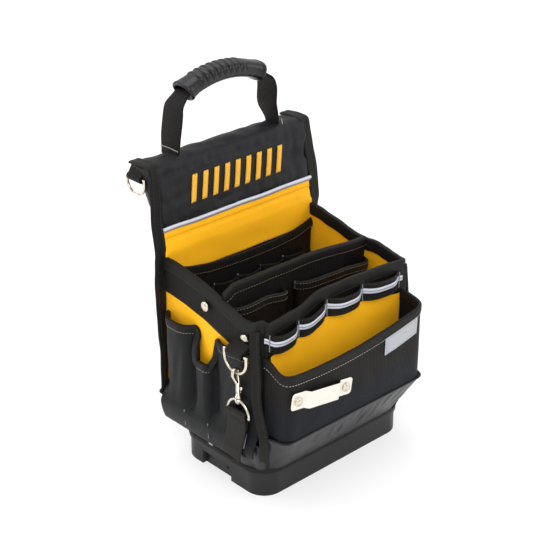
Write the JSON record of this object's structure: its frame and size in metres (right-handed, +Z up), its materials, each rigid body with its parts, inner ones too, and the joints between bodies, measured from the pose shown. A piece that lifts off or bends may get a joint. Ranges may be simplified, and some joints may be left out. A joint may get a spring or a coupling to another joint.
{
  "type": "open tool tote",
  "caption": "Open-top soft tool tote with a moulded base tray, tall padded back, centre divider, outer pockets, tool loops, carry handle, strap rings and a side snap hook.",
  "frame": {"origin": "centre of the base tray's underside, on the surface it stands on", "axes": "+X to the right seen from the front, +Y from the front pocket to the tall back, +Z up"},
  "size_m": [0.2777, 0.2708, 0.4634],
  "materials": {
    "tray": "moulded charcoal plastic, fine satin grain",
    "board": "thin black stiffening board",
    "coated_hem": "dark grey coated fabric with a soft gloss",
    "black_fabric": "black coarse ballistic weave",
    "yellow_fabric": "yellow plain weave",
    "webbing": "black ribbed webbing and grosgrain binding",
    "embroidery": "yellow satin stitch",
    "reflective": "silver reflective tape",
    "label": "bare light grey patch",
    "nickel": "nickel-plated steel",
    "spring_steel": "plain spring steel",
    "grip": "black moulded rubber with ribs"
  },
  "bodies": {
    "bag": {"base_tray": "tray", "floor_board": "board", "hem_skirt": "coated_hem", "front_wall": "yellow_fabric", "left_wall": "yellow_fabric", "right_wall": "yellow_fabric", "back_panel": "black_fabric", "rim_band": "webbing", "corner_bindings": "webbing", "back_bindings": "webbing", "upper_panel": "black_fabric", "emblem_bars": "embroidery", "reflective_piping": "reflective", "yellow_band": "yellow_fabric", "back_pocket": "black_fabric", "back_pocket_binding": "webbing", "back_tool_loops": "webbing", "back_wedge": "black_fabric", "top_cover": "black_fabric", "divider": "black_fabric", "divider_binding": "webbing", "divider_pocket_left": "black_fabric", "divider_pocket_right": "black_fabric", "front_pocket": "black_fabric", "front_pocket_binding": "webbing", "front_tool_loops": "webbing", "reflective_ribbon": "reflective", "tape_clip": "nickel", "tape_clip_rivets": "nickel", "label_patch": "label", "left_pocket_front": "black_fabric", "left_pocket_middle": "black_fabric", "left_pocket_rear": "black_fabric", "left_pocket_bindings": "webbing", "right_pocket_front": "black_fabric", "right_pocket_middle": "black_fabric", "right_pocket_rear": "black_fabric", "right_pocket_bindings": "webbing", "rim_rivets": "nickel", "hem_rivets": "nickel", "dring_tabs": "webbing", "handle_roots": "webbing", "snap_tab": "webbing", "snap_strap_root": "webbing"},
    "handle": {"handle_webbing": "webbing", "handle_grip": "grip"},
    "dring_left": {"dring_left": "nickel"},
    "dring_right": {"dring_right": "nickel"},
    "snap_ring": {"snap_ring": "nickel"},
    "snap_strap": {"snap_strap": "webbing", "snap_eye": "nickel"},
    "snap_hook": {"snap_hook": "nickel", "bolt_spring": "spring_steel"},
    "snap_bolt": {"snap_bolt": "nickel"}
  },
  "joints": [
    {"name": "handle_fold", "type": "hinge", "parent": "bag", "child": "handle", "pos_m": [0.002, 0.13119, 0.383], "axis": [1, 0, 0], "range_deg": [-60, 60]},
    {"name": "dring_left_swing", "type": "hinge", "parent": "bag", "child": "dring_left", "pos_m": [-0.1259, 0.13619, 0.348], "axis": [0, 1, 0], "range_deg": [0, 150]},
    {"name": "dring_right_swing", "type": "hinge", "parent": "bag", "child": "dring_right", "pos_m": [0.1259, 0.13619, 0.348], "axis": [0, -1, 0], "range_deg": [0, 150]},
    {"name": "snap_strap_sway", "type": "hinge", "parent": "bag", "child": "snap_strap", "pos_m": [-0.13074, -0.048, 0.078], "axis": [0, -1, 0], "range_deg": [0, 3]},
    {"name": "snap_ring_swing", "type": "hinge", "parent": "bag", "child": "snap_ring", "pos_m": [-0.13774, -0.048, 0.196], "axis": [0, 1, 0], "range_deg": [0, 11.3]},
    {"name": "snap_hook_swivel", "type": "hinge", "parent": "snap_strap", "child": "snap_hook", "pos_m": [-0.13374, -0.048, 0.13345], "axis": [0, 0, 1], "range_deg": [-10, 10]},
    {"name": "snap_bolt_slide", "type": "slide", "parent": "snap_hook", "child": "snap_bolt", "axis": [0, 0, -1], "range_m": [0, 0.007], "stiffness_N_per_m": 200, "springref_m": -0.003, "deforming": ["bolt_spring"]}
  ],
  "couplings": [
    {"joint": "snap_ring_swing", "follows": "snap_strap_sway", "ratio": 3.758}
  ]
}
